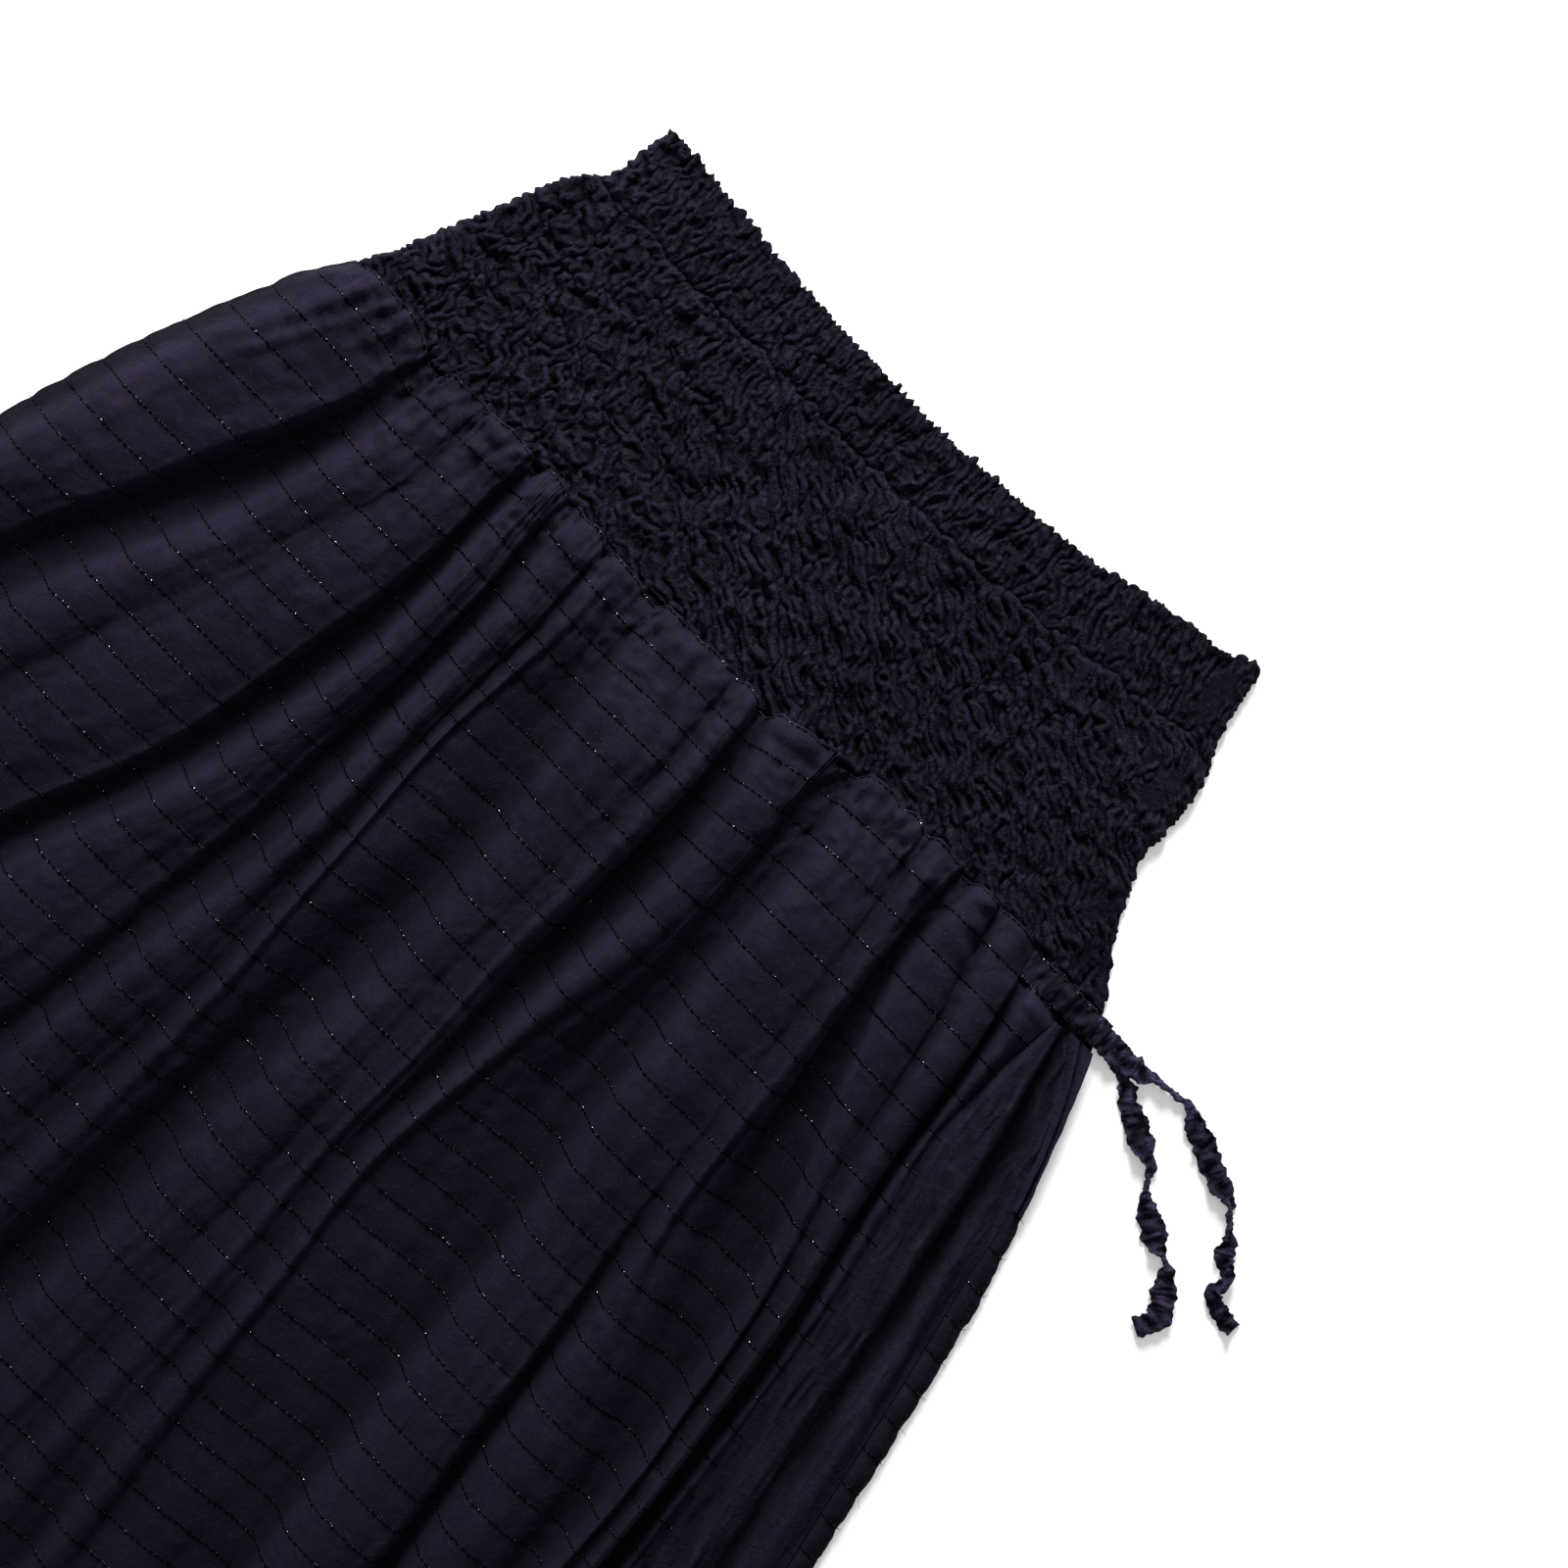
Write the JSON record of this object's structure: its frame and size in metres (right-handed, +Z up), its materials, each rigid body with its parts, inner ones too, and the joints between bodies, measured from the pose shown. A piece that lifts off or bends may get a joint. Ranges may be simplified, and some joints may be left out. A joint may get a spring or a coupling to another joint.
{
  "type": "midi skirt",
  "caption": "Midi skirt laid flat, with a smocked yoke and frilled heading, gathered panels crossed by threads, a plain side gore and a side tie.",
  "frame": {"origin": "middle of the garment's outline, on the surface it lies on", "axes": "+Z up from the surface, +Y towards the waist, +X towards the side with the ties"},
  "size_m": [0.7884, 0.8304, 0.0188],
  "materials": {
    "smocked_cloth": "matte crinkled midnight navy cotton, drawn up into puffs",
    "threaded_cloth": "soft midnight navy cotton with a slight sheen, crossed by black glinting threads",
    "plain_cloth": "soft midnight navy cotton with a slight sheen, finely creased",
    "tie_cloth": "crinkled midnight navy cotton strip"
  },
  "bodies": {
    "root": {"heading_front": "smocked_cloth", "heading_back": "smocked_cloth", "yoke_front": "smocked_cloth", "yoke_back": "smocked_cloth", "skirt_front": "threaded_cloth", "skirt_back": "threaded_cloth", "skirt_back_turned_edge": "threaded_cloth", "side_gore": "plain_cloth", "opening_facing_inner": "plain_cloth", "opening_facing_outer": "plain_cloth", "tie_casing": "threaded_cloth", "tie_long": "tie_cloth", "tie_short": "tie_cloth"}
  },
  "joints": []
}
